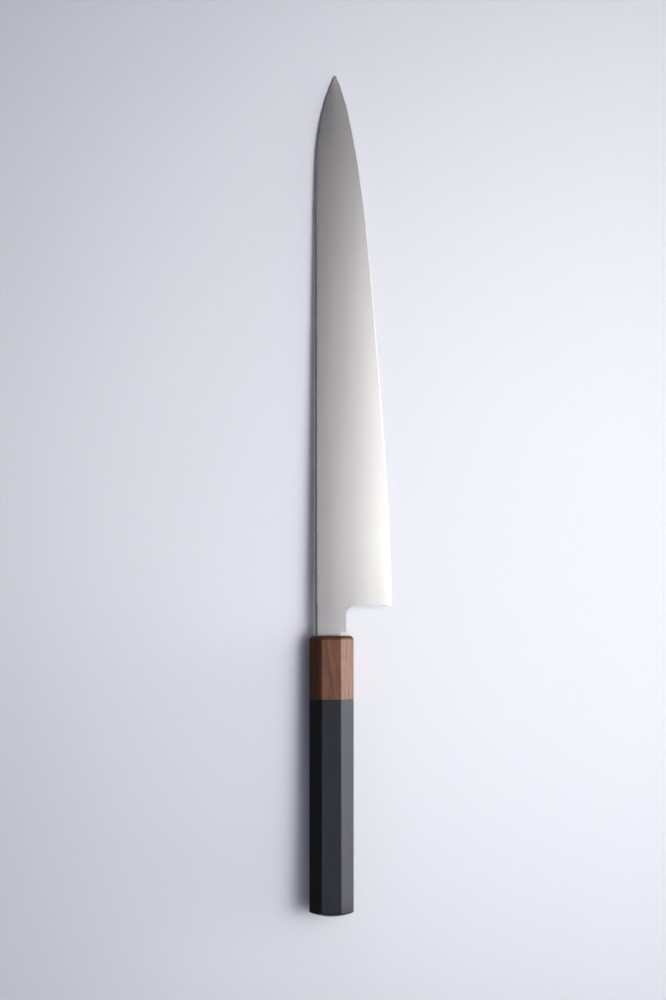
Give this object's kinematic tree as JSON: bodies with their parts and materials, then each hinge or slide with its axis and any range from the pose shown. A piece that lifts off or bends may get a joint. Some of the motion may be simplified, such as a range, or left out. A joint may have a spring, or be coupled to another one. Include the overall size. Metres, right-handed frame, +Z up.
{
  "type": "sujihiki slicing knife",
  "caption": "Long slim slicing knife with a pointed steel blade, rounded choil and neck, hidden tang, and an octagonal dark wood handle with a walnut ferrule.",
  "frame": {"origin": "middle of the bottom of the bounding box, with the knife lying on its side on a table", "axes": "+Y along the knife towards the tip, +X from the spine towards the cutting edge, +Z up from the table"},
  "size_m": [0.0416, 0.4278, 0.0231],
  "materials": {
    "blade_steel": "satin, fine hairlines along the blade, polished edge bevel",
    "ferrule_walnut": "oiled walnut, satin, straight grain along the handle",
    "handle_blackwood": "near-black hardwood, fine sanded, satin",
    "dowel_beech": "bare beech",
    "bedding_resin": "cured amber resin"
  },
  "bodies": {
    "root": {"blade": "blade_steel", "ferrule": "ferrule_walnut", "handle_body": "handle_blackwood", "tang_dowel": "dowel_beech", "tang_bedding": "bedding_resin"}
  },
  "joints": []
}
